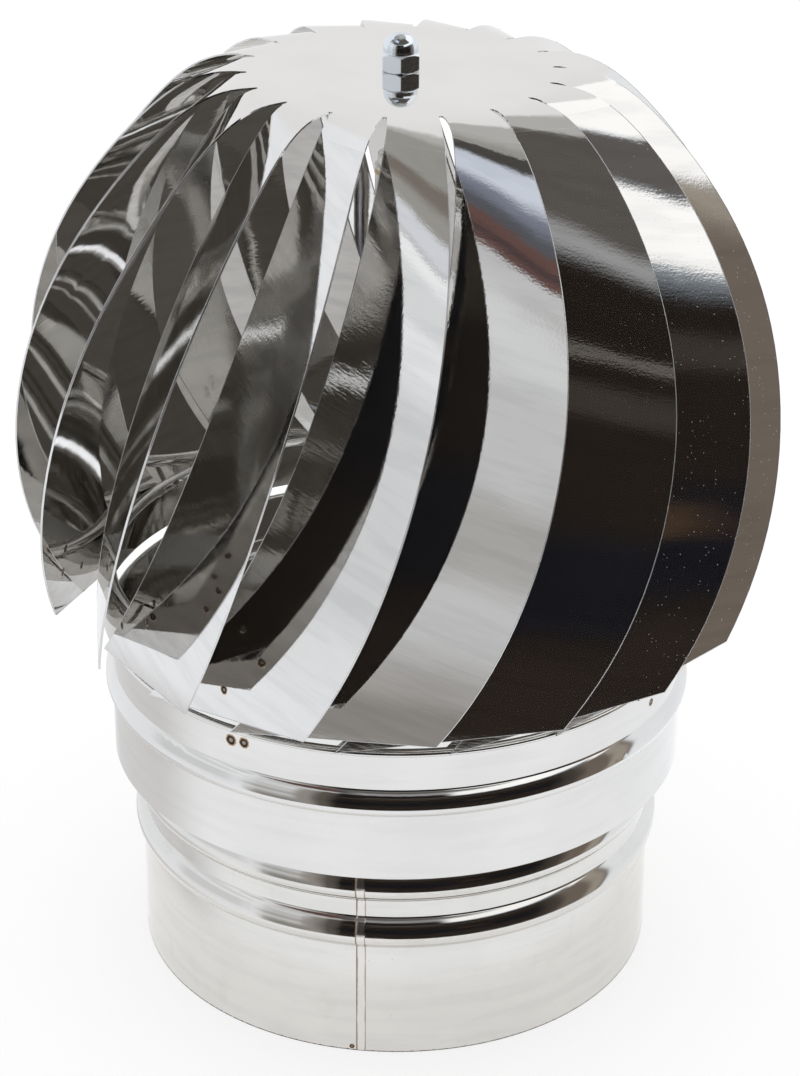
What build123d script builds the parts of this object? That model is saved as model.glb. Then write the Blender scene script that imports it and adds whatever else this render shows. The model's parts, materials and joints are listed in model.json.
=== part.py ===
from build123d import *
import math
import os

# Chimney cowl with a spinning ball of vanes. Millimetres, +Z up.
# The origin is on the cowl's axis, at the lower edge of the flue collar.

# Sheet and bar stock
vane_sheet = 0.6
wall = 0.8
bar_thickness = 2.0
bar_width = 20.0

# Flue collar, the lower tube with two pressed beads and a flared top
collar_r = 100.0
spigot_length = 47.25
collar_bead_height = 12.7
collar_bead_proud = 3.0
collar_bead_sag = 0.9
collar_bead_gap = 7.5
bead_flare_gap = 1.35
flare_height = 10.5
lap_height = 12.0
crease = 1.2

# Casing, the wider sleeve round the top of the collar
casing_step = 10.0
casing_lift = 1.8
casing_skirt_height = 26.5
casing_bead_height = 10.4
casing_bead_proud = 2.6
casing_bead_sag = 1.3
casing_rim_height = 16.7
rim_wire_r = 1.2

# Cross of two flat bars that carries the bearing tube
tab_height = 13.0
tab_margin = 2.9
lower_bar_angle = 59.0
bar_bend = 3.0

# Bearing tube and its two flanged bushes
tube_r = 9.0
tube_bore_r = 7.0
tube_drop = 21.0
bush_length = 18.0
bush_flange = 2.0
thrust_washer_thickness = 1.0
running_clearance = 0.03
thrust_clearance = 0.05
end_play = 0.3

# Spindle and its threaded ends
journal_r = 5.0
thread_r = 4.0
shoulder_r = 8.0
shoulder_height = 4.0
stem_length = 20.0
thread_grip = 10.5
tail_thread = 12.5
end_chamfer = 0.8
hole_clearance = 0.2

# Hexagon nuts and washers
nut_flats = 13.0
nut_height = 6.5
nut_chamfer_angle = 38.0
lock_nut_height = 8.0
cap_nut_height = 13.8
cap_nut_grip = 6.5
dome_r = 6.2
cap_nut_corner = -88.0
washer_r = 8.0
washer_thickness = 1.6

# Top disc and the stiffening plate under it
disc_r = 54.6
hub_plate_r = 40.0
hub_plate_thickness = 2.0

# Stiffening ring inside the feet of the vanes, with a lip rolled inwards. The lowest corners of the
# feet reach a little below it.
rotor_gap = 2.6
ring_height = 22.0
ring_lip_r = 3.0
feet_below_ring = 1.6

# Vanes: one blank is slit along arcs from the disc outwards, and each tongue is bent down and
# twisted without stretching. The slits end in small round holes.
vane_count = 18
first_slit_angle = 124.5
slit_hole_r = 0.7

# Leading edge of a vane, the proud one: radius, drop below the disc and angle from its slit
lead_neck_r, lead_neck_drop, lead_neck_angle = 63.6, 0.3, -2.0
lead_shoulder_r, lead_shoulder_drop, lead_shoulder_angle = 96.1, 21.1, -4.8
lead_waist_r, lead_waist_drop, lead_waist_angle = 135.3, 89.4, -10.8
lead_belly_r, lead_belly_drop, lead_belly_angle = 140.9, 157.9, -19.7
lead_foot_r, lead_foot_drop, lead_foot_angle = 132.2, 199.1, -28.5

# Trailing edge of a vane, the one tucked in behind the next vane. A straight line across the sheet
# joins each point to its partner on the leading edge. The sheet begins to fold at this edge, so the
# edge sets out at a share of the leading edge's pace.
trail_pace = 0.34
trail_neck_r, trail_neck_drop, trail_neck_angle = 57.5, 0.3, 1.1
trail_shoulder_r, trail_shoulder_drop, trail_shoulder_angle = 70.3, 10.2, 0.6
trail_waist_r, trail_waist_drop, trail_waist_angle = 100.7, 75.1, -8.0
trail_belly_r, trail_belly_drop, trail_belly_angle = 112.6, 157.1, -24.6
trail_foot_r, trail_foot_drop, trail_foot_angle = 115.7, 212.1, -45.2

casing_r = collar_r + casing_step

# Heights, from the collar's lower edge upwards
lower_bead_z = spigot_length + collar_bead_height / 2
upper_bead_z = lower_bead_z + collar_bead_height + collar_bead_gap
flare_start_z = upper_bead_z + collar_bead_height / 2 + bead_flare_gap
casing_base_z = flare_start_z + casing_lift
casing_bead_z = casing_base_z + casing_skirt_height + casing_bead_height / 2
casing_top_z = casing_bead_z + casing_bead_height / 2 + casing_rim_height
ring_base_z = casing_top_z + rotor_gap
disc_top_z = ring_base_z + trail_foot_drop - feet_below_ring

# Heights, from the disc downwards to the lower bush
hub_plate_z = disc_top_z - vane_sheet - hub_plate_thickness
clamp_nut_z = hub_plate_z - washer_thickness - nut_height
shoulder_z = clamp_nut_z - stem_length - shoulder_height
thrust_z = shoulder_z - thrust_clearance
tube_top_z = thrust_z - thrust_washer_thickness - bush_flange
tab_top_z = casing_top_z - tab_margin
cross_z = tab_top_z - tab_height
tube_base_z = cross_z - tube_drop
journal_end_z = tube_base_z - bush_flange - end_play

slit_pitch = 360 / vane_count
casing_inner_r = casing_r - wall
bore_clear_r = thread_r + hole_clearance
same_place = 0.01


def spin(section):
    """A solid of revolution from a half section drawn with x as radius and y as height."""
    return revolve(Plane.XZ * section, Axis.Z)


def rod(radius, low, high):
    """A round bar on the axis between two heights."""
    return Pos(0, 0, (low + high) / 2) * Cylinder(radius, high - low)


def hexagon(flats, low, height, corner_angle=0.0):
    """A hexagonal prism with its top and bottom corners turned off."""
    corner_r = flats / math.sqrt(3)
    prism = extrude(Pos(0, 0, low) * Rot(0, 0, corner_angle) * RegularPolygon(corner_r, 6), height)
    turned = (corner_r - flats / 2) * math.tan(math.radians(nut_chamfer_angle))
    profile = Polygon(
        (0, low),
        (flats / 2, low),
        (corner_r, low + turned),
        (corner_r, low + height - turned),
        (flats / 2, low + height),
        (0, low + height),
        align=None,
    )
    return prism & spin(profile)


def washer(outer_r, inner_r, low, thickness):
    """A flat ring."""
    return rod(outer_r, low, low + thickness) - rod(inner_r, low, low + thickness)


def bead_outline(crease_r, middle_z, height, proud, sag, inset):
    """Section of a bead with its crest below its middle: one arc above the crest and one below."""
    crest_z = middle_z - sag
    outline = Sketch()
    for side in (1, -1):
        reach = height / 2 + side * sag
        arc_r = (reach**2 + proud**2) / (2 * proud)
        arc = Pos(crease_r + proud - arc_r, crest_z) * Circle(arc_r - inset)
        outline += arc & Pos(crease_r, crest_z + side * arc_r / 2) * Rectangle(4 * arc_r, arc_r)
    return outline


def tube_outlines(radius, low, high):
    """Outer and inner outline of a plain sheet tube, as half sections out from the axis."""
    middle = (low + high) / 2
    outer = Pos(radius / 2, middle) * Rectangle(radius, high - low)
    inner = Pos((radius - wall) / 2, middle) * Rectangle(radius - wall, high - low)
    return outer, inner


def pressed_beads(outlines, radius, beads, height, proud, sag):
    """Half section of a sheet tube between its outlines, with round beads pressed outwards."""
    outer, inner = outlines
    for z in beads:
        outer += bead_outline(radius, z, height, proud, sag, 0)
        inner += bead_outline(radius, z, height, proud, sag, wall)
    section = outer - inner
    crease_heights = [z + side * height / 2 for z in beads for side in (-1, 1)]
    creases = [
        vertex
        for vertex in section.vertices()
        if any((vertex.center() - Vector(radius, z)).length < same_place for z in crease_heights)
    ]
    return fillet(creases, crease)


def make_collar():
    """Flue collar: tube with two beads, flared at the top to fit inside the casing."""
    flare_top_z = flare_start_z + flare_height
    lap_top_z = flare_top_z + lap_height
    turn = wall * math.tan(math.atan2(casing_inner_r - collar_r, flare_height) / 2)
    outlines = []
    for outline, inset, rise in zip(tube_outlines(collar_r, 0, flare_start_z + turn), (0, wall), (0, turn)):
        flare = Polygon(
            (0, flare_start_z),
            (collar_r - inset, flare_start_z + rise),
            (casing_inner_r - inset, flare_top_z + rise),
            (casing_inner_r - inset, lap_top_z),
            (0, lap_top_z),
            align=None,
        )
        outlines.append(outline + flare)
    beads = (lower_bead_z, upper_bead_z)
    section = pressed_beads(
        outlines, collar_r, beads, collar_bead_height, collar_bead_proud, collar_bead_sag
    )
    return spin(section)


def make_casing():
    """Casing: wider sleeve with one bead and a wired upper rim."""
    wire_z = casing_top_z - rim_wire_r
    outlines = tube_outlines(casing_r, casing_base_z, wire_z)
    section = pressed_beads(
        outlines, casing_r, (casing_bead_z,), casing_bead_height, casing_bead_proud, casing_bead_sag
    )
    return spin(section + Pos(casing_inner_r + rim_wire_r, wire_z) * Circle(rim_wire_r))


def make_cross_bar(low, angle):
    """Flat bar across the casing, its ends turned up and shaped to the casing wall."""
    span = 2 * casing_inner_r
    channel = Pos(0, (low + tab_top_z) / 2) * Rectangle(span, tab_top_z - low)
    bottom_corners = channel.vertices().group_by(Axis.Y)[0]
    channel = fillet(bottom_corners, bar_bend + bar_thickness)
    inside_height = tab_top_z - low - bar_thickness
    inside = Pos(0, tab_top_z - inside_height / 2) * Rectangle(span - 2 * bar_thickness, inside_height)
    inside = fillet(inside.vertices().group_by(Axis.Y)[0], bar_bend)
    bar = extrude(Plane.XZ * (channel - inside), bar_width / 2, both=True)
    bar &= rod(casing_inner_r, low, tab_top_z)
    bar -= rod(tube_r, low, tab_top_z)
    return Rot(0, 0, angle) * bar


def make_bearing_tube():
    """Plain tube that stands in the cross and holds a bush in each end."""
    return rod(tube_r, tube_base_z, tube_top_z) - rod(tube_bore_r, tube_base_z, tube_top_z)


def make_bush(seat_z, direction):
    """Flanged plain bush. The flange lies on the tube's end, and direction points out of the tube."""
    flange_z = seat_z + direction * bush_flange
    inner_z = seat_z - direction * bush_length
    body = rod(tube_bore_r, min(seat_z, inner_z), max(seat_z, inner_z))
    flange = rod(tube_r, min(seat_z, flange_z), max(seat_z, flange_z))
    bore = rod(journal_r + running_clearance, min(flange_z, inner_z), max(flange_z, inner_z))
    return body + flange - bore


def make_spindle():
    """Turned spindle: journal in the bushes, thrust shoulder, and a thread at each end."""
    tail_z = journal_end_z - tail_thread
    top_z = disc_top_z + thread_grip
    thread = rod(thread_r, tail_z, top_z)
    ends = thread.edges().group_by(Axis.Z)
    thread = chamfer(ends[0] + ends[-1], end_chamfer)
    journal = rod(journal_r, journal_end_z, shoulder_z)
    shoulder = rod(shoulder_r, shoulder_z, shoulder_z + shoulder_height)
    return thread + journal + shoulder


def make_nut(low, height):
    """Hexagon nut on the spindle's thread."""
    return hexagon(nut_flats, low, height) - rod(thread_r, low, low + height)


def make_cap_nut():
    """Domed cap nut on the top disc."""
    dome_z = disc_top_z + cap_nut_height - dome_r
    nut = hexagon(nut_flats, disc_top_z, cap_nut_grip, cap_nut_corner)
    nut += rod(dome_r, disc_top_z + cap_nut_grip / 2, dome_z)
    nut += Pos(0, 0, dome_z) * Sphere(dome_r)
    return nut - rod(thread_r, disc_top_z, disc_top_z + thread_grip)


def edge_point(radius, drop, angle):
    """Point of a vane edge, below the disc's upper face, with its angle measured from slit 0."""
    turn = math.radians(angle)
    return Vector(radius * math.cos(turn), radius * math.sin(turn), disc_top_z - drop)


def end_slope(points, shares):
    """Slope at the last point of a smooth run through the last three points."""
    before = (points[-2] - points[-3]) / (shares[-2] - shares[-3])
    last = (points[-1] - points[-2]) / (shares[-1] - shares[-2])
    reach = (shares[-1] - shares[-2]) / (shares[-1] - shares[-3])
    return last + (last - before) * reach


def path_shares(points):
    """Share of the way along the points at each one, from 0 to 1, and the whole way."""
    lengths = [0.0]
    for near, far in zip(points, points[1:]):
        lengths.append(lengths[-1] + (far - near).length)
    return [length / lengths[-1] for length in lengths], lengths[-1]


def make_vane():
    """One vane between slit 0 and slit 1. Its outer skin is ruled between two curved edges."""
    lead_corner = edge_point(disc_r, 0, slit_pitch)
    trail_corner = edge_point(disc_r, 0, 0)
    hole_side = (lead_corner - trail_corner).normalized() * slit_hole_r
    lead = [
        lead_corner - hole_side,
        edge_point(lead_neck_r, lead_neck_drop, slit_pitch + lead_neck_angle),
        edge_point(lead_shoulder_r, lead_shoulder_drop, slit_pitch + lead_shoulder_angle),
        edge_point(lead_waist_r, lead_waist_drop, slit_pitch + lead_waist_angle),
        edge_point(lead_belly_r, lead_belly_drop, slit_pitch + lead_belly_angle),
        edge_point(lead_foot_r, lead_foot_drop, slit_pitch + lead_foot_angle),
    ]
    trail = [
        trail_corner + hole_side,
        edge_point(trail_neck_r, trail_neck_drop, trail_neck_angle),
        edge_point(trail_shoulder_r, trail_shoulder_drop, trail_shoulder_angle),
        edge_point(trail_waist_r, trail_waist_drop, trail_waist_angle),
        edge_point(trail_belly_r, trail_belly_drop, trail_belly_angle),
        edge_point(trail_foot_r, trail_foot_drop, trail_foot_angle),
    ]
    shares, length = path_shares(lead)
    outward = Vector(length, 0, 0).rotate(Axis.Z, slit_pitch / 2)
    edges = [
        Edge.make_spline(
            points, tangents=[outward * pace, end_slope(points, shares)], parameters=shares, scale=False
        )
        for points, pace in ((lead, 1), (trail, trail_pace))
    ]
    return Solid.thicken(Face.make_surface_from_curves(*edges), vane_sheet)


def make_vane_shell(vane):
    """Top disc and all the vanes, one sheet of steel, closed up from their faces."""
    turns = [Rot(0, 0, k * slit_pitch) for k in range(vane_count)]
    outline = RegularPolygon(disc_r, vane_count) - Circle(bore_clear_r)
    outline -= [turn * Pos(disc_r, 0) * Circle(slit_hole_r) for turn in turns]
    disc = extrude(Pos(0, 0, disc_top_z - vane_sheet) * outline, vane_sheet)
    root_r = disc_r * math.cos(math.radians(slit_pitch / 2))
    root_middle = edge_point(root_r, vane_sheet / 2, slit_pitch / 2)
    root_face = vane.faces().sort_by(lambda face: (face.center() - root_middle).length)[0]
    vane_skin = [face for face in vane.faces() if not face.is_same(root_face)]
    roots = disc.faces().filter_by(GeomType.PLANE) - disc.faces().filter_by(Axis.Z)
    skin = disc.faces() - roots
    skin += [turn * face for turn in turns for face in vane_skin]
    return Rot(0, 0, first_slit_angle) * Solid(Shell(skin))


def vane_inner_r(vane, low, high):
    """Least radius of a vane between two heights, where the ring inside it is welded on."""
    reach = 2 * casing_r
    band = Pos(0, 0, (low + high) / 2) * Box(2 * reach, 2 * reach, high - low)
    axis = Edge.make_line((0, 0, low), (0, 0, high))
    return (vane & band).distance_to(axis)


def make_skirt_ring(outer_r):
    """Stiffening ring inside the vanes' feet, its upper lip rolled inwards."""
    top_z = ring_base_z + ring_height
    tube = Pos(outer_r - wall / 2, (ring_base_z + top_z - ring_lip_r) / 2) * Rectangle(
        wall, ring_height - ring_lip_r
    )
    lip_centre = Pos(outer_r - ring_lip_r, top_z - ring_lip_r)
    lip = lip_centre * (Circle(ring_lip_r) - Circle(ring_lip_r - wall))
    upper_half = lip_centre * Pos(0, ring_lip_r / 2) * Rectangle(2 * ring_lip_r, ring_lip_r)
    return spin(tube + (lip & upper_half))


vane = make_vane()
ring_r = vane_inner_r(vane, ring_base_z, ring_base_z + ring_height)

parts = {
    "collar": make_collar(),
    "casing": make_casing(),
    "cross_bar_lower": make_cross_bar(cross_z, lower_bar_angle),
    "cross_bar_upper": make_cross_bar(cross_z + bar_thickness, lower_bar_angle + 90),
    "bearing_tube": make_bearing_tube(),
    "bush_lower": make_bush(tube_base_z, -1),
    "bush_upper": make_bush(tube_top_z, 1),
    "thrust_washer": washer(
        tube_r, journal_r + hole_clearance, thrust_z - thrust_washer_thickness, thrust_washer_thickness
    ),
    "spindle": make_spindle(),
    "retaining_washer": washer(washer_r, thread_r, journal_end_z - washer_thickness, washer_thickness),
    "lock_nut": make_nut(journal_end_z - washer_thickness - lock_nut_height, lock_nut_height),
    "clamp_nut": make_nut(clamp_nut_z, nut_height),
    "clamp_washer": washer(washer_r, bore_clear_r, clamp_nut_z + nut_height, washer_thickness),
    "hub_plate": washer(hub_plate_r, bore_clear_r, hub_plate_z, hub_plate_thickness),
    "cap_nut": make_cap_nut(),
    "vane_shell": make_vane_shell(vane),
    "skirt_ring": make_skirt_ring(ring_r),
}

os.makedirs("parts", exist_ok=True)
for name, part in parts.items():
    export_step(part, f"parts/{name}.step")
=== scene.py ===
import json
import math

import bmesh
import bpy
from mathutils import Matrix, Vector
from mathutils.bvhtree import BVHTree


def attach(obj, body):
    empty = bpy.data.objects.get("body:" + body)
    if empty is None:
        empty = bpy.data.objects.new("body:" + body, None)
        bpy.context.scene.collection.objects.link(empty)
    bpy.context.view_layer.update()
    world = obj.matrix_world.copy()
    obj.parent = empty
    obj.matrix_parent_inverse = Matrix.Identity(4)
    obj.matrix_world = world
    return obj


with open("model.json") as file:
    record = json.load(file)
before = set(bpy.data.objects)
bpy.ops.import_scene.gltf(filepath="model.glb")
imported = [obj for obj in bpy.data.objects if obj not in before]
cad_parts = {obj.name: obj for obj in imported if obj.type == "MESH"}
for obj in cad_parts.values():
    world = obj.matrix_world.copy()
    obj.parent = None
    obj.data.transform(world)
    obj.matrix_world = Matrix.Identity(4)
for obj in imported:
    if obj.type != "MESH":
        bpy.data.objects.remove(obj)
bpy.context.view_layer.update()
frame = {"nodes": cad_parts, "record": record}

MM = 0.001

# Camera: place, aim and lens, all solved from the outline in the photo
CAMERA_PLACE = Vector((0, -0.97786, 0.65019))
CAMERA_TILT = 26.355
CAMERA_TURN = -0.056
CAMERA_ROLL = 0.40
SENSOR = 36.0
LENS = 95.85
PHOTO_SIZE = (800, 1076)

# Steel as clean sheet reflects it. Tones of the room are written as this steel shows them.
SHEET_STEEL = (0.775, 0.765, 0.748)
SHARE_REFLECTED = 0.77


def linear(level):
    """Linear light for a level from 0 to 255 on the screen."""
    share = level / 255
    return share / 12.92 if share <= 0.04045 else ((share + 0.055) / 1.055) ** 2.4


def room_tone(tone):
    levels = (tone,) * 3 if isinstance(tone, (int, float)) else tone
    return tuple(linear(level) / SHARE_REFLECTED for level in levels)


class Nodes:
    """Short calls for one node tree."""

    def __init__(self, tree):
        self.tree = tree
        tree.nodes.clear()

    def new(self, kind, **settings):
        node = self.tree.nodes.new(kind)
        for name, value in settings.items():
            setattr(node, name, value)
        return node

    def put(self, socket, value):
        if isinstance(value, bpy.types.NodeSocket):
            self.tree.links.new(value, socket)
        else:
            socket.default_value = value

    def math(self, operation, a, b=None):
        node = self.new("ShaderNodeMath", operation=operation)
        self.put(node.inputs[0], a)
        if b is not None:
            self.put(node.inputs[1], b)
        return node.outputs[0]

    def ramp(self, value, low, high, out_low=0.0, out_high=1.0):
        """A smooth step from out_low to out_high as value goes from low to high."""
        node = self.new("ShaderNodeMapRange", interpolation_type="SMOOTHSTEP")
        self.put(node.inputs["Value"], value)
        node.inputs["From Min"].default_value = low
        node.inputs["From Max"].default_value = high
        node.inputs["To Min"].default_value = out_low
        node.inputs["To Max"].default_value = out_high
        return node.outputs[0]

    def blend(self, share, a, b):
        """Colour a where share is 0 and colour b where it is 1."""
        node = self.new("ShaderNodeMix", data_type="RGBA")
        self.put(node.inputs["Factor"], share)
        self.put(node.inputs[6], a if isinstance(a, bpy.types.NodeSocket) else (*a, 1.0))
        self.put(node.inputs[7], b if isinstance(b, bpy.types.NodeSocket) else (*b, 1.0))
        return node.outputs[2]

    def place(self):
        """The surface point in the object's own metres."""
        return self.new("ShaderNodeTexCoord").outputs["Object"]

    def split(self, vector):
        node = self.new("ShaderNodeSeparateXYZ")
        self.put(node.inputs[0], vector)
        return node.outputs

    def join(self, x, y, z):
        node = self.new("ShaderNodeCombineXYZ")
        for socket, value in zip(node.inputs, (x, y, z)):
            self.put(socket, value)
        return node.outputs[0]

    def sized(self, vector, sizes, turn=0.0):
        """Coordinates for a texture whose features have these sizes, in metres."""
        node = self.new("ShaderNodeMapping", vector_type="TEXTURE")
        self.put(node.inputs["Vector"], vector)
        node.inputs["Rotation"].default_value = (0, 0, math.radians(turn))
        node.inputs["Scale"].default_value = sizes
        return node.outputs[0]

    def noise(self, vector, detail=2.0):
        node = self.new("ShaderNodeTexNoise")
        self.put(node.inputs["Vector"], vector)
        node.inputs["Scale"].default_value = 1.0
        node.inputs["Detail"].default_value = detail
        return node.outputs["Fac"]

    def cells(self, vector):
        """Distance to the nearest of a cloud of points, and a random number for that point."""
        node = self.new("ShaderNodeTexVoronoi")
        self.put(node.inputs["Vector"], vector)
        node.inputs["Scale"].default_value = 1.0
        return node.outputs["Distance"], self.split(node.outputs["Color"])[0]

    def out_from_axis(self, x, y):
        """Distance of a point from the cowl's axis."""
        return self.math("SQRT", self.math("ADD", self.math("MULTIPLY", x, x), self.math("MULTIPLY", y, y)))

    def azimuth(self, x, y):
        """Angle round the axis in radians, 0 on the camera's side and positive to the right."""
        return self.math("ARCTAN2", x, self.math("MULTIPLY", y, -1.0))

    def faces_out(self):
        """1 where the surface faces away from the axis, 0 where it faces the axis."""
        surface = self.new("ShaderNodeNewGeometry")
        x, y, _ = self.split(surface.outputs["Position"])
        dot = self.new("ShaderNodeVectorMath", operation="DOT_PRODUCT")
        self.put(dot.inputs[0], self.join(x, y, 0.0))
        self.put(dot.inputs[1], surface.outputs["True Normal"])
        return self.math("GREATER_THAN", dot.outputs["Value"], 0.0)

    def bump(self, height, distance, normal=None):
        """Normal bent by a height from 0 to 1 that stands for this distance in metres."""
        node = self.new("ShaderNodeBump")
        node.inputs["Strength"].default_value = 1.0
        node.inputs["Distance"].default_value = distance
        self.put(node.inputs["Height"], height)
        if normal is not None:
            self.put(node.inputs["Normal"], normal)
        return node.outputs[0]

    def close(self, kind, socket):
        """Output node of a world or a material."""
        out = self.new(kind)
        self.put(out.inputs[0], socket)


def share_between(n, value, limits, soft):
    """Share of a band between two limits. A limit of None is open."""
    low, high = limits
    up = 1.0 if low is None else n.ramp(value, low - soft, low + soft)
    down = 1.0 if high is None else n.ramp(value, high - soft, high + soft, 1.0, 0.0)
    if low is None or high is None:
        return down if low is None else up
    return n.math("MULTIPLY", up, down)


# The room, as the steel reflects it. Azimuth 0 is the camera's side, 90 the right, 180 the back.
# Each patch: azimuths, elevations, softness of its upright and level edges, tone. Later ones lie
# over earlier ones.
ROOM = (225, 228, 232)
PATCHES = (
    # back wall, and the bright wall at the right
    ((144, None), (None, 90), 6, 5, (221, 221, 222)),
    ((None, -150), (None, 90), 6, 5, (221, 221, 222)),
    ((94, 146), (22.5, 62), 4, 1.5, 253),
    # ceiling, greyer towards the front
    ((-200, 200), (58, None), 5, 5, (172, 172, 170)),
    ((-140, 75), (56, 84), 12, 5, (146, 146, 141)),
    # left wall
    ((-98, -62), (-19, -11), 6, 3, (219, 221, 224)),
    ((-98, -62), (-12, 13), 6, 3, (204, 206, 209)),
    ((-98, -62), (25, 30.4), 6, 1, (230, 232, 235)),
    ((-98, -62), (20, 27), 6, 1, (211, 213, 216)),
    # wall between the window and the dark side
    ((-55, -22), (-30, 35.5), 6, 1, (188, 189, 191)),
    ((-55, -22), (20, 30), 6, 3, (204, 206, 208)),
    ((-55, -22), (-3, 6), 6, 2, (166, 165, 164)),
    ((-55, -22), (-30, -13), 6, 4, (158, 156, 154)),
    ((-55, -22), (-30, -19), 6, 2, (134, 131, 128)),
    # window band over the left wall
    ((-98, -62), (30.4, 60), 5, 0.7, (148, 147, 142)),
    ((-98, -62), (42, 49), 5, 2, (116, 110, 104)),
    ((-90, -62), (30.8, 36.5), 5, 1.2, (204, 207, 214)),
    # brown shelf and curtain over the next wall, then a bright blue window
    ((-62, -18), (35.3, 75), 5, 0.6, (70, 68, 66)),
    ((-62, -18), (36, 53), 5, 1, (83, 85, 91)),
    ((-62, -18), (46, 53), 5, 2, (118, 122, 137)),
    ((-62, -18), (51, 64), 5, 2.5, (198, 205, 218)),
    ((-62, -24), (35.3, 42), 5, 0.6, (98, 74, 70)),
    ((-62, -24), (37, 39), 5, 0.5, (72, 60, 60)),
    # dull wall and ceiling over the dark side
    ((-20, 76), (37, 74), 4, 4, (84, 81, 78)),
    # dark side of the room, at the camera, lighter towards its two ends
    ((-37, 95), (-26, 31), 3, 1.5, (140, 136, 132)),
    ((-30, 95), (-26, 33), 3, 2, (85, 80, 75)),
    ((-23, 95), (-26, 36), 3, 4, (31, 26, 22)),
    ((-23, 62), (-26, -13), 3, 3, (38, 32, 28)),
    ((-23, 62), (-10, 2), 3, 3, (20, 20, 25)),
    ((-23, 62), (14.5, 18.5), 3, 1, (55, 50, 46)),
    ((-12, 20), (21.6, 23.0), 3, 0.4, (98, 94, 89)),
    ((25, 36.5), (-3, 0.5), 1, 1, (60, 47, 36)),
    ((63, 95), (-26, 24), 6, 2, (66, 60, 55)),
    ((72, 95), (-26, 24), 4, 2, (105, 96, 88)),
    ((86, 95), (-26, 24), 3, 2, (150, 142, 132)),
    # softbox at the right, with its bluish lower rim
    ((22, 128), (24.2, 38), 4, 2.6, (133, 140, 148)),
    ((22, 128), (26.4, 36.9), 4, 0.9, 252),
    ((80, 146), (23.3, 62), 3, 1, 253),
    ((55, 80), (37.6, 47.5), 3, 1, (90, 87, 86)),
    # floor
    ((-200, 200), (None, -26.5), 5, 1.5, (230, 232, 235)),
    ((-170, -95), (None, -26.5), 18, 1.5, (200, 200, 201)),
)


def make_world():
    """White studio with a dark side towards the camera, seen only in reflections."""
    world = bpy.data.worlds.new("studio")
    bpy.context.scene.world = world
    world.use_nodes = True
    world.cycles.sampling_method = "NONE"
    n = Nodes(world.node_tree)
    x, y, z = n.split(n.new("ShaderNodeTexCoord").outputs["Generated"])
    azimuth = n.math("MULTIPLY", n.azimuth(x, y), math.degrees(1))
    elevation = n.math("MULTIPLY", n.math("ARCSINE", z), math.degrees(1))
    colour = room_tone(ROOM)
    for sides, heights, soft_sides, soft_heights, tone in PATCHES:
        share = n.math(
            "MULTIPLY",
            share_between(n, azimuth, sides, soft_sides),
            share_between(n, elevation, heights, soft_heights),
        )
        colour = n.blend(share, colour, room_tone(tone))
    path = n.new("ShaderNodeLightPath")
    reflected = n.new("ShaderNodeBackground")
    n.put(reflected.inputs["Color"], colour)
    plain = n.new("ShaderNodeBackground")
    plain.inputs["Color"].default_value = (1, 1, 1, 1)
    mirrored = n.math("MAXIMUM", path.outputs["Is Glossy Ray"], path.outputs["Is Transmission Ray"])
    mix = n.new("ShaderNodeMixShader")
    n.put(mix.inputs[0], mirrored)
    n.put(mix.inputs[1], plain.outputs[0])
    n.put(mix.inputs[2], reflected.outputs[0])
    n.close("ShaderNodeOutputWorld", mix.outputs[0])


# Floor: pale paper. In reflections it ends a little way off, and the room shows beyond it. Inside the
# flue it only glows faintly and warm: painted shade for the dark inside a real flue.
FLOOR_SIZE = 6.0
FLOOR_COLOUR = (0.38, 0.38, 0.38)
FLOOR_GLOW = 0.665
PAPER_REACH = (0.13, 0.16)
FLUE_R = 0.1
FLUE_GLOW = 0.06
FLUE_COLOUR = (1.0, 0.90, 0.79)


def make_floor():
    bpy.ops.mesh.primitive_plane_add(size=FLOOR_SIZE, location=(0, 0, 0))
    floor = bpy.context.object
    floor.name = "floor"
    material = bpy.data.materials.new("pale_floor")
    material.use_nodes = True
    n = Nodes(material.node_tree)
    x, y, _ = n.split(n.new("ShaderNodeNewGeometry").outputs["Position"])
    out_from_axis = n.out_from_axis(x, y)
    path = n.new("ShaderNodeLightPath")
    seen = n.math("MAXIMUM", path.outputs["Is Camera Ray"], path.outputs["Is Glossy Ray"])
    outside = n.math("GREATER_THAN", out_from_axis, FLUE_R)
    diffuse = n.new("ShaderNodeBsdfDiffuse")
    diffuse.inputs["Color"].default_value = (*FLOOR_COLOUR, 1)
    glow = n.new("ShaderNodeEmission")
    # painted shade: inside the flue the floor glows only faintly and warm
    n.put(glow.inputs["Color"], n.blend(outside, FLUE_COLOUR, (1.0, 1.0, 1.0)))
    bright = n.math("MAXIMUM", n.math("MULTIPLY", outside, FLOOR_GLOW), FLUE_GLOW)
    n.put(glow.inputs["Strength"], n.math("MULTIPLY", seen, bright))
    add = n.new("ShaderNodeAddShader")
    n.put(add.inputs[0], diffuse.outputs[0])
    n.put(add.inputs[1], glow.outputs[0])
    beyond = n.math("MULTIPLY", n.ramp(out_from_axis, *PAPER_REACH), path.outputs["Is Glossy Ray"])
    mix = n.new("ShaderNodeMixShader")
    n.put(mix.inputs[0], beyond)
    n.put(mix.inputs[1], add.outputs[0])
    n.put(mix.inputs[2], n.new("ShaderNodeBsdfTransparent").outputs[0])
    n.close("ShaderNodeOutputMaterial", mix.outputs[0])
    floor.data.materials.append(material)


def camera_matrix():
    turn = Matrix.Rotation(math.radians(CAMERA_TURN), 4, "Z")
    tilt = Matrix.Rotation(math.radians(90 - CAMERA_TILT), 4, "X")
    roll = Matrix.Rotation(math.radians(CAMERA_ROLL), 4, "Z")
    return Matrix.Translation(CAMERA_PLACE) @ turn @ tilt @ roll


def make_camera():
    data = bpy.data.cameras.new("camera")
    camera = bpy.data.objects.new("camera", data)
    bpy.context.scene.collection.objects.link(camera)
    data.sensor_fit = "VERTICAL"
    data.sensor_height = SENSOR
    data.lens = LENS
    data.clip_start = 0.01
    camera.matrix_world = camera_matrix()
    bpy.context.scene.camera = camera


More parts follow.
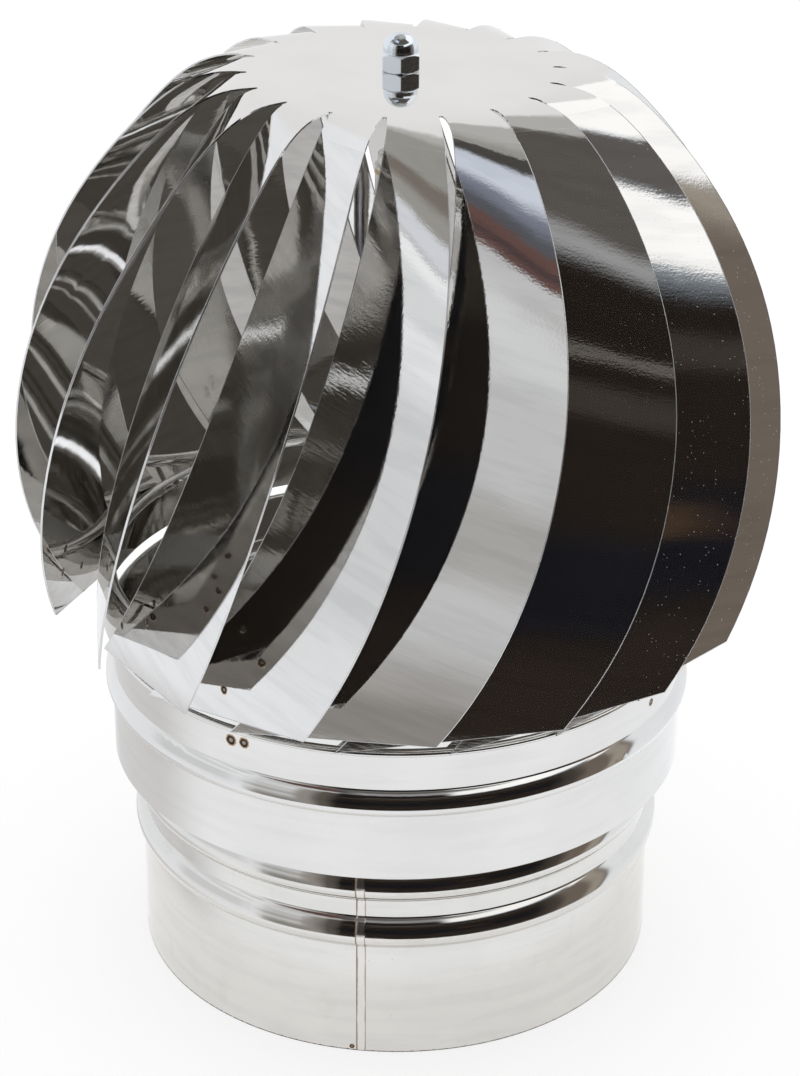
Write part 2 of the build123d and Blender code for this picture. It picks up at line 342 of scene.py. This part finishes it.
def round_axis(n, point, radius):
    """Distance round the axis at this radius, height, and distance out from the axis."""
    x, y, z = n.split(point)
    return n.join(n.math("MULTIPLY", n.azimuth(x, y), radius), z, n.out_from_axis(x, y))


# Sizes in metres of what the steel shows: round the axis, upwards and outwards, or the same all ways
CLOUD_SIZE = (0.035,) * 3
SMEAR_SIZE = (0.040, 0.0045, 0.03)
BLOT_SIZE = (0.009, 0.009, 0.014)
PIT_SPACING = (0.0045,) * 3
RAGGED_SIZE = (0.0012, 0.02, 0.02)
RAGGED_DEPTH = 1.2 * MM
DUST_SPACING = (0.0015,) * 3
DUST_CLOUD_SIZE = (0.06,) * 3
DUST_CLOUD_REACH = 0.04
STREAK_SIZE = (0.035, 0.004, 0.03)
GRAIN_REACH = 0.03
PEEL_SIZE = (0.0008,) * 3

# Dust specks: real dust, laid thicker on the right as painted glints where the softbox lights it, from the
# first of these distances to the second
DUST_AND_GLINT_SIDE = (0.09, 0.135)
DUST_AND_GLINT_THIN = 0.15
PEEL_THIN = 0.15

SMEAR_COLOUR = (0.30, 0.30, 0.31)
DARK_FOOT_COLOUR = (0.10, 0.085, 0.07)
DUST_COLOUR = (0.75, 0.72, 0.68)


def new_material(name):
    """A material, short calls for its node tree and its shader."""
    material = bpy.data.materials.new(name)
    material.use_nodes = True
    n = Nodes(material.node_tree)
    return material, n, n.new("ShaderNodeBsdfPrincipled")


def steel(
    name, colour=SHEET_STEEL, rough=(0.03, 0.07), metallic=0.995, radius=0.12,
    grain=0.0, grain_turn=-12.0, grain_size=(0.006, 0.0011), streaks=0.0, smears=0.0,
    flat_above=None, rounding=None, peel=0.0, peel_from=None, waves=0.0, wave_size=0.05,
    clouds=0.965, specks=0.0, stains=0.0, stain_colour=(0.42, 0.36, 0.29), dark_foot=None,
):
    """Steel with rolling grain, slight waves, specks of dust, stains and a ragged dark band along its foot.

    The depths of grain, streaks, peel and waves are in metres, as are rounding and dark_foot.
    """
    material, n, shader = new_material(name)
    point = n.place()
    height = n.split(point)[2]
    sheet = round_axis(n, point, radius)
    patchy = n.noise(n.sized(point, CLOUD_SIZE), detail=3.0)
    base = n.blend(n.ramp(patchy, 0.35, 0.65), colour, tuple(clouds * c for c in colour))
    roughness = n.ramp(patchy, 0.35, 0.7, *rough)
    below_top = 1.0 if flat_above is None else n.math("LESS_THAN", height, flat_above)
    if smears:
        smear = n.noise(n.sized(sheet, SMEAR_SIZE, grain_turn), detail=3.0)
        share = n.math("MULTIPLY", n.ramp(smear, 0.42, 0.68), smears)
        base = n.blend(n.math("MULTIPLY", share, below_top), base, SMEAR_COLOUR)
    metal = metallic
    if stains:
        blot = n.noise(n.sized(point, BLOT_SIZE), detail=5.0)
        share = n.math("MULTIPLY", n.ramp(blot, 0.58, 0.72), stains)
        pit, chance = n.cells(n.sized(point, PIT_SPACING))
        pit_share = n.math("MULTIPLY", n.ramp(pit, 0.03, 0.06, 1.0, 0.0), n.ramp(chance, 0.55, 0.6))
        share = n.math("MAXIMUM", share, n.math("MULTIPLY", pit_share, 0.7))
        base = n.blend(share, base, stain_colour)
        roughness = n.math("ADD", roughness, n.math("MULTIPLY", share, 0.2))
    # a ragged dark band along the bottom edge, where the sheet stands on the floor
    if dark_foot is not None:
        ragged = n.math("SUBTRACT", n.noise(n.sized(sheet, RAGGED_SIZE), detail=2.0), 0.5)
        reach = n.math("ADD", dark_foot, n.math("MULTIPLY", ragged, RAGGED_DEPTH))
        base = n.blend(n.math("LESS_THAN", height, reach), base, DARK_FOOT_COLOUR)
    if specks:
        speck, chance = n.cells(n.sized(point, DUST_SPACING))
        uneven = n.math("MULTIPLY", n.noise(n.sized(point, DUST_CLOUD_SIZE), detail=1.0), DUST_CLOUD_REACH)
        # painted glints: real dust specks, crowded on the right where the softbox lights them
        lit_side_crowd = n.math("ADD", uneven, n.split(point)[0])
        share = n.math("MULTIPLY", n.ramp(speck, 0.06, 0.12, 1.0, 0.0), n.ramp(chance, 0.3, 0.9))
        share = n.math("MULTIPLY", share, n.ramp(lit_side_crowd, *DUST_AND_GLINT_SIDE, DUST_AND_GLINT_THIN, 1.0))
        share = n.math("MULTIPLY", share, specks)
        base = n.blend(share, base, DUST_COLOUR)
        metal = n.math("MULTIPLY", n.math("SUBTRACT", 1.0, share), metallic)
        roughness = n.math("MAXIMUM", roughness, n.math("MULTIPLY", share, 0.8))
    n.put(shader.inputs["Base Color"], base)
    n.put(shader.inputs["Metallic"], metal)
    n.put(shader.inputs["Roughness"], roughness)
    normal = None
    if rounding is not None:
        # edges broken by tumbling catch the light
        corner = n.new("ShaderNodeBevel", samples=8)
        corner.inputs["Radius"].default_value = rounding
        normal = corner.outputs[0]
    if waves:
        normal = n.bump(n.noise(n.sized(point, (wave_size,) * 3), detail=1.0), waves, normal)
    if streaks:
        normal = n.bump(n.noise(n.sized(sheet, STREAK_SIZE, grain_turn), detail=2.0), streaks, normal)
    if grain:
        lines = n.noise(n.sized(sheet, (*grain_size, GRAIN_REACH), grain_turn), detail=3.0)
        normal = n.bump(n.math("MULTIPLY", lines, below_top), grain, normal)
    if peel:
        share = n.math("MULTIPLY", n.ramp(height, *peel_from, PEEL_THIN, 1.0), below_top)
        share = n.math("MULTIPLY", share, n.faces_out())
        normal = n.bump(n.math("MULTIPLY", n.noise(n.sized(point, PEEL_SIZE)), share), peel, normal)
    if normal is not None:
        n.put(shader.inputs["Normal"], normal)
    n.close("ShaderNodeOutputMaterial", shader.outputs[0])
    return material


DISC_UNDERSIDE = 345 * MM


def slot_materials():
    plain = dict(grain=1.5e-6, grain_turn=0.0, grain_size=(0.02, 0.0006), stains=0.4)
    return {
        "vane_sheet": steel(
            "vane_steel", rough=(0.018, 0.042), grain=7.0e-6, streaks=4.0e-6,
            waves=5.0e-5, smears=0.12, flat_above=DISC_UNDERSIDE, specks=1.0,
            peel=9.0e-6, peel_from=(0.22, 0.29),
        ),
        "ring_sheet": steel("ring_steel", rough=(0.05, 0.09), grain=1.0e-6, waves=2.0e-5),
        "casing_sheet": steel(
            "casing_steel", colour=(0.755, 0.742, 0.720), rough=(0.035, 0.07), radius=0.11,
            grain=1.5e-6, grain_turn=0.0, streaks=3.0e-6, waves=3.0e-5, smears=0.06, specks=0.5,
        ),
        # the collar's steel is a little darker and warmer than the casing's: partly its own tone, partly
        # painted shade for the shaded floor it reflects near its foot
        "collar_sheet": steel(
            "collar_steel", colour=(0.735, 0.720, 0.690), rough=(0.05, 0.10), radius=0.1,
            grain=1.5e-6, grain_turn=0.0, streaks=3.0e-6, waves=4.0e-5, smears=0.08, stains=0.07,
            dark_foot=0.35 * MM,
        ),
        "cross_steel": steel("cross_steel", colour=(0.66, 0.65, 0.63), rough=(0.20, 0.32), **plain),
        "turned_steel": steel("turned_steel", colour=(0.70, 0.69, 0.67), rough=(0.18, 0.28), **plain),
        "nut_steel": steel(
            "plated_nut_steel", colour=(0.72, 0.76, 0.80), rough=(0.05, 0.12), waves=2.0e-5, wave_size=0.003,
            rounding=0.6 * MM,
        ),
        "bush_bronze": steel(
            "sintered_bronze", colour=(0.62, 0.45, 0.25), rough=(0.30, 0.42), metallic=1.0,
            grain=2.0e-6, grain_size=(0.0007, 0.0007), stains=0.5, stain_colour=(0.20, 0.13, 0.07),
        ),
    }


def dress_nodes():
    materials = slot_materials()
    for part in frame["record"]["subparts"]:
        node = frame["nodes"][part["node"]]
        node.data.materials.clear()
        node.data.materials.append(materials[part["material_slot"]])


def tree_of(name):
    mesh = frame["nodes"][name].data
    return BVHTree.FromPolygons([v.co for v in mesh.vertices], [p.vertices for p in mesh.polygons])


def photo_ray(pixel):
    """Direction from the camera through a pixel of the photo."""
    width, height = PHOTO_SIZE
    scale = SENSOR / LENS / height
    x, y = (pixel[0] - width / 2) * scale, (height / 2 - pixel[1]) * scale
    return (camera_matrix().to_3x3() @ Vector((x, y, -1))).normalized()


# Spot weld: how far and how finely its rings waver, and the grain on it
WELD_WOBBLE = 0.35
WELD_WOBBLE_SIZE = (0.0012,) * 3
WELD_GRAIN = 1.0e-5
WELD_GRAIN_SIZE = (0.0005,) * 3
WELD_CORE = (0.30, 0.28, 0.26)
WELD_RING = (0.035, 0.024, 0.018)
WELD_EDGE = (0.42, 0.27, 0.14)


def weld_material(name, size):
    """Spot weld: grey core, dark burnt ring, tinted edge that fades into the sheet."""
    material, n, shader = new_material(name)
    point = n.place()
    x, y, _ = n.split(point)
    uneven = n.math("SUBTRACT", n.noise(n.sized(point, WELD_WOBBLE_SIZE)), 0.5)
    out = n.math("ADD", n.out_from_axis(x, y), n.math("MULTIPLY", uneven, WELD_WOBBLE * size))
    colour = n.blend(n.ramp(out, 0.25 * size, 0.42 * size), WELD_CORE, WELD_RING)
    colour = n.blend(n.ramp(out, 0.60 * size, 0.80 * size), colour, WELD_EDGE)
    colour = n.blend(n.ramp(out, 0.80 * size, 0.98 * size), colour, SHEET_STEEL)
    n.put(shader.inputs["Base Color"], colour)
    shader.inputs["Metallic"].default_value = 0.93
    n.put(shader.inputs["Roughness"], n.ramp(out, 0.6 * size, 0.95 * size, 0.35, 0.06))
    n.put(shader.inputs["Normal"], n.bump(n.noise(n.sized(point, WELD_GRAIN_SIZE)), WELD_GRAIN))
    n.close("ShaderNodeOutputMaterial", shader.outputs[0])
    return material


# Spot welds and burn marks. WELD_RINGS: share of the radius and share of the rise.
# MARKS: name, body, node and slot that carry it, radius, and its pixel in the photo.
WELD_RISE = 0.05 * MM
WELD_SIDES = 28
WELD_RINGS = ((0.0, 0.15), (0.2, 0.2), (0.4, 0.7), (0.6, 1.0), (0.8, 0.6), (1.0, 0.12))
WELD_FEELER = 4 * MM
MARKS = (
    ("weld_casing_1", "base", "casing", "casing_sheet", 2.6 * MM, (231, 740)),
    ("weld_casing_2", "base", "casing", "casing_sheet", 2.4 * MM, (244, 743)),
    ("weld_casing_3", "base", "casing", "casing_sheet", 1.8 * MM, (651, 702)),
    ("weld_vane_1", "rotor", "vane_shell", "vane_sheet", 1.9 * MM, (224, 690)),
    ("weld_vane_2", "rotor", "vane_shell", "vane_sheet", 1.9 * MM, (65.6, 549)),
    ("weld_vane_3", "rotor", "vane_shell", "vane_sheet", 1.9 * MM, (81.7, 565)),
    ("weld_vane_4", "rotor", "vane_shell", "vane_sheet", 1.9 * MM, (63, 572)),
    ("weld_vane_5", "rotor", "vane_shell", "vane_sheet", 1.6 * MM, (154, 603)),
    ("weld_vane_6", "rotor", "vane_shell", "vane_sheet", 1.6 * MM, (147, 622)),
    ("weld_vane_7", "rotor", "vane_shell", "vane_sheet", 1.6 * MM, (122, 626)),
    ("burn_collar_1", "base", "collar", "collar_sheet", 1.2 * MM, (352, 1046)),
    ("burn_collar_2", "base", "collar", "collar_sheet", 1.0 * MM, (363, 1047)),
)


def make_mark(name, body, tree, size, pixel, material):
    """A low blister on the sheet at a pixel: a raised ring round a shallow dimple."""
    hit, normal, _, _ = tree.ray_cast(CAMERA_PLACE, photo_ray(pixel))
    if hit is None:
        raise SystemExit(f"{name} misses the sheet")
    if normal.dot(CAMERA_PLACE - hit) < 0:
        normal = -normal
    turn = normal.to_track_quat("Z", "Y")
    mesh = bmesh.new()
    rows = []
    for share, rise in WELD_RINGS:
        row = []
        for k in range(WELD_SIDES if share else 1):
            angle = math.tau * k / WELD_SIDES
            local = share * size * Vector((math.cos(angle), math.sin(angle), 0))
            # follow the sheet below each point
            start = hit + turn @ local + WELD_FEELER * normal
            below, _, _, _ = tree.ray_cast(start, -normal, 2 * WELD_FEELER)
            lift = (turn.inverted() @ (below - hit)).z if below is not None else 0.0
            local.z = lift + rise * WELD_RISE
            row.append(mesh.verts.new(local))
        rows.append(row)
    for k in range(WELD_SIDES):
        mesh.faces.new((rows[0][0], rows[1][k], rows[1][(k + 1) % WELD_SIDES]))
    for inner, outer in zip(rows[1:], rows[2:]):
        for k in range(WELD_SIDES):
            after = (k + 1) % WELD_SIDES
            mesh.faces.new((inner[k], outer[k], outer[after], inner[after]))
    for face in mesh.faces:
        face.smooth = True
    data = bpy.data.meshes.new(name)
    mesh.to_mesh(data)
    mesh.free()
    piece = bpy.data.objects.new(name, data)
    bpy.context.scene.collection.objects.link(piece)
    piece.matrix_world = Matrix.Translation(hit) @ turn.to_matrix().to_4x4()
    data.materials.append(material)
    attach(piece, body)


def make_marks():
    trees = {name: tree_of(name) for name in ("casing", "vane_shell", "collar")}
    looks = {}
    for name, body, node, slot, size, pixel in MARKS:
        if size not in looks:
            looks[size] = weld_material(f"weld_burn_{len(looks) + 1}", size)
        make_mark(name, body, trees[node], size, pixel, looks[size])
    return trees["collar"]


# Lap-welded seam of the collar: azimuths of its edges from the camera's side, heights, its rise,
# the length of a step, and its section as shares of width and rise
SEAM_SIDES = (-8.2, -6.1)
SEAM_HEIGHTS = (0.4 * MM, 79.0 * MM)
SEAM_RISE = 0.22 * MM
SEAM_STEP = 0.4 * MM
SEAM_SECTION = ((0.0, 0.0), (0.1, 0.75), (0.25, 1.0), (0.5, 1.0), (0.75, 1.0), (0.9, 0.75), (1.0, 0.0))
SEAM_LIFT = 0.01 * MM
SEAM_STEEL = (0.76, 0.74, 0.71)
SEAM_BURN = (0.26, 0.19, 0.13)
SEAM_PATCH_SIZE = (0.002, 0.002, 0.006)
SEAM_BUMP_SIZE = (0.002, 0.002, 0.004)
OUTSIDE_R = 0.2


def seam_material():
    material, n, shader = new_material("collar_seam_steel")
    point = n.place()
    x, y, _ = n.split(point)
    patches = n.math("SUBTRACT", n.noise(n.sized(point, SEAM_PATCH_SIZE), 3.0), 0.5)
    uneven = n.math("MULTIPLY", patches, 0.5)
    azimuth = n.math("ADD", n.math("MULTIPLY", n.azimuth(x, y), math.degrees(1)), uneven)
    left = n.ramp(azimuth, SEAM_SIDES[0] + 0.12, SEAM_SIDES[0] + 0.50, 1.0, 0.0)
    right = n.ramp(azimuth, SEAM_SIDES[1] - 0.38, SEAM_SIDES[1] - 0.10, 0.0, 0.7)
    n.put(shader.inputs["Base Color"], n.blend(n.math("MAXIMUM", left, right), SEAM_STEEL, SEAM_BURN))
    shader.inputs["Metallic"].default_value = 0.95
    n.put(shader.inputs["Roughness"], n.math("ADD", 0.16, n.math("MULTIPLY", uneven, 0.2)))
    n.put(shader.inputs["Normal"], n.bump(n.noise(n.sized(point, SEAM_BUMP_SIZE)), 2.0e-5))
    n.close("ShaderNodeOutputMaterial", shader.outputs[0])
    return material


def make_seam(tree):
    """A thin strip that follows the collar's profile, its edges rounded down to the sheet."""
    steps = int((SEAM_HEIGHTS[1] - SEAM_HEIGHTS[0]) / SEAM_STEP)
    mesh = bmesh.new()
    rows = []
    for k in range(steps + 1):
        height = SEAM_HEIGHTS[0] + (SEAM_HEIGHTS[1] - SEAM_HEIGHTS[0]) * k / steps
        row = []
        for share, rise in SEAM_SECTION:
            azimuth = math.radians(SEAM_SIDES[0] + share * (SEAM_SIDES[1] - SEAM_SIDES[0]))
            outward = Vector((math.sin(azimuth), -math.cos(azimuth), 0))
            hit, normal, _, _ = tree.ray_cast(OUTSIDE_R * outward + Vector((0, 0, height)), -outward)
            row.append(mesh.verts.new(hit + normal * (rise * SEAM_RISE + SEAM_LIFT)))
        rows.append(row)
    for lower, upper in zip(rows, rows[1:]):
        for k in range(len(SEAM_SECTION) - 1):
            face = mesh.faces.new((lower[k], lower[k + 1], upper[k + 1], upper[k]))
            face.smooth = True
    data = bpy.data.meshes.new("collar_seam")
    mesh.to_mesh(data)
    mesh.free()
    piece = bpy.data.objects.new("collar_seam", data)
    bpy.context.scene.collection.objects.link(piece)
    data.materials.append(seam_material())
    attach(piece, "base")


# Sheared edges of the vanes: where two faces meet at more than this angle, below the disc, and one
# of them looks outwards at least so much
EDGE_ANGLE = 50.0
EDGE_BELOW = 0.347
EDGE_OUTWARD = 0.35
BURR_R = 0.15 * MM
BURR_SINK = 0.08 * MM


def outer_corners(mesh):
    """Pairs of points along the outer corners of the sheet, each with the direction into the sheet."""
    beside = {}
    for face in mesh.polygons:
        corners = [tuple(round(c, 6) for c in mesh.vertices[k].co) for k in face.vertices]
        for a, b in zip(corners, corners[1:] + corners[:1]):
            beside.setdefault((min(a, b), max(a, b)), []).append(face.normal.copy())
    pairs = []
    for (a, b), normals in beside.items():
        if len(normals) != 2 or max(a[2], b[2]) > EDGE_BELOW:
            continue
        first, second = normals
        if math.degrees(first.angle(second, 0.0)) < EDGE_ANGLE:
            continue
        outward = Vector((a[0] + b[0], a[1] + b[1], 0)).normalized()
        if max(first.dot(outward), second.dot(outward)) > EDGE_OUTWARD:
            inward = -(first + second).normalized() * BURR_SINK
            pairs.append((Vector(a) + inward, Vector(b) + inward))
    return pairs


def make_edges():
    """The thin burr that shearing leaves along the outer corner of each vane's edges."""
    mesh = bmesh.new()
    points = {}
    for pair in outer_corners(frame["nodes"]["vane_shell"].data):
        ends = []
        for point in pair:
            key = tuple(round(c, 4) for c in point)
            if key not in points:
                points[key] = mesh.verts.new(point)
            ends.append(points[key])
        if ends[0] is not ends[1] and mesh.edges.get(ends) is None:
            mesh.edges.new(ends)
    data = bpy.data.meshes.new("vane_edges")
    mesh.to_mesh(data)
    mesh.free()
    piece = bpy.data.objects.new("vane_edges", data)
    bpy.context.scene.collection.objects.link(piece)
    bpy.ops.object.select_all(action="DESELECT")
    piece.select_set(True)
    bpy.context.view_layer.objects.active = piece
    bpy.ops.object.convert(target="CURVE")
    piece.data.bevel_depth = BURR_R
    piece.data.bevel_resolution = 1
    bpy.ops.object.convert(target="MESH")
    for face in piece.data.polygons:
        face.use_smooth = True
    piece.data.materials.clear()
    # the burr's steel is paler than the sheet's: a real burr with a painted highlight along the vanes' edges
    piece.data.materials.append(steel(
        "vane_edge_steel", colour=(0.86, 0.86, 0.86), rough=(0.22, 0.35), grain=1.0e-6, clouds=0.85,
    ))
    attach(piece, "rotor")


make_camera()
make_world()
make_floor()
dress_nodes()
make_edges()
make_seam(make_marks())

# Light bounces many times between the vanes
bpy.context.scene.cycles.max_bounces = 16
bpy.context.scene.cycles.glossy_bounces = 12
bpy.context.scene.view_settings.view_transform = "Standard"
